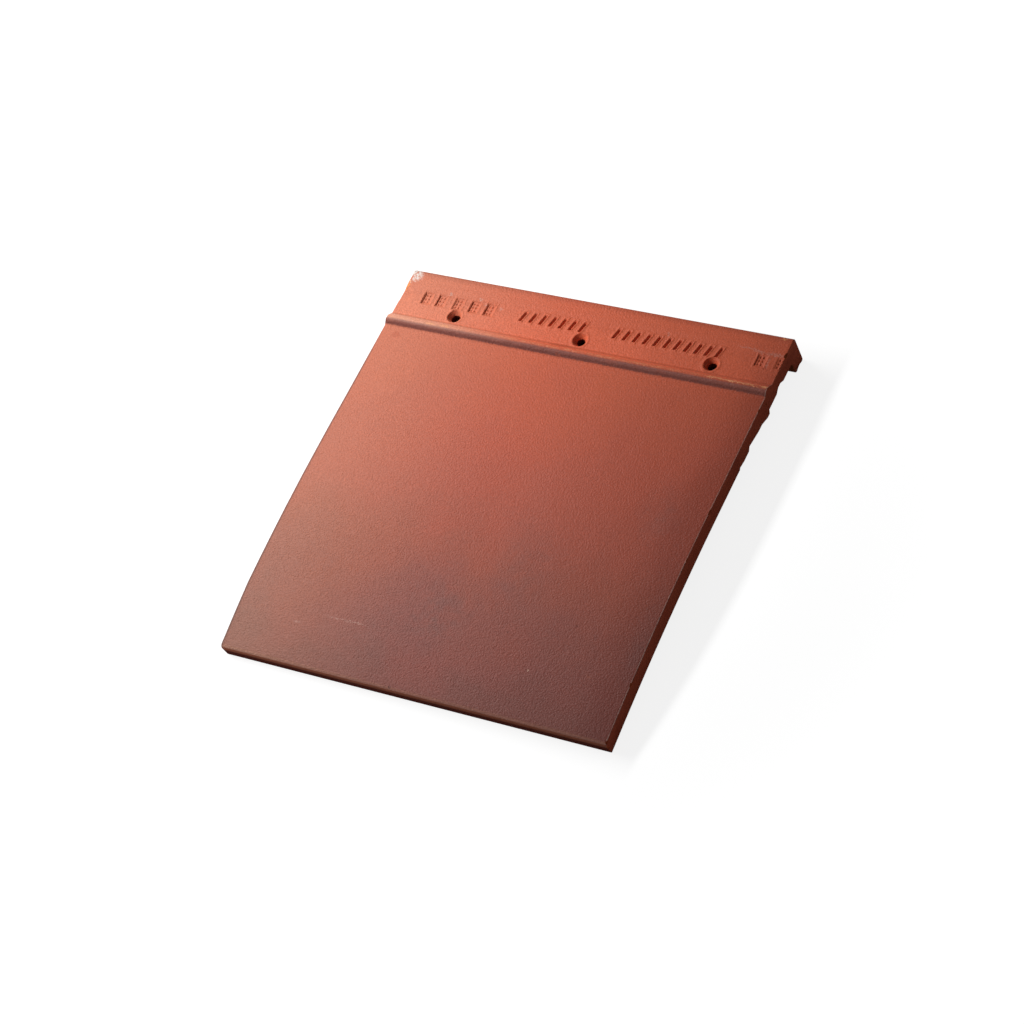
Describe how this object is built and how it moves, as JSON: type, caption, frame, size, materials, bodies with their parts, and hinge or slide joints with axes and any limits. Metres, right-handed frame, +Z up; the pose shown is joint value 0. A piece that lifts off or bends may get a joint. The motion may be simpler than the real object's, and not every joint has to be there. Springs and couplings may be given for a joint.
{
  "type": "tile-and-a-half roof tile",
  "caption": "Wide plain clay roof tile with a turned-down tail, a bead across its top, nail holes and a full-width nib that hooks over a batten.",
  "frame": {"origin": "on the ground, under the middle of the tile's length and width", "axes": "+Y from the tail to the head, +Z up, out of the weathered face, +X across the tile, to the right when seen from the tail"},
  "size_m": [0.255, 0.27, 0.0226],
  "materials": {
    "fired_clay": "matt fired clay under a thin clay slip, orange-red at the head, darker and browner towards the tail"
  },
  "bodies": {
    "root": {"roof_tile": "fired_clay"}
  },
  "joints": []
}
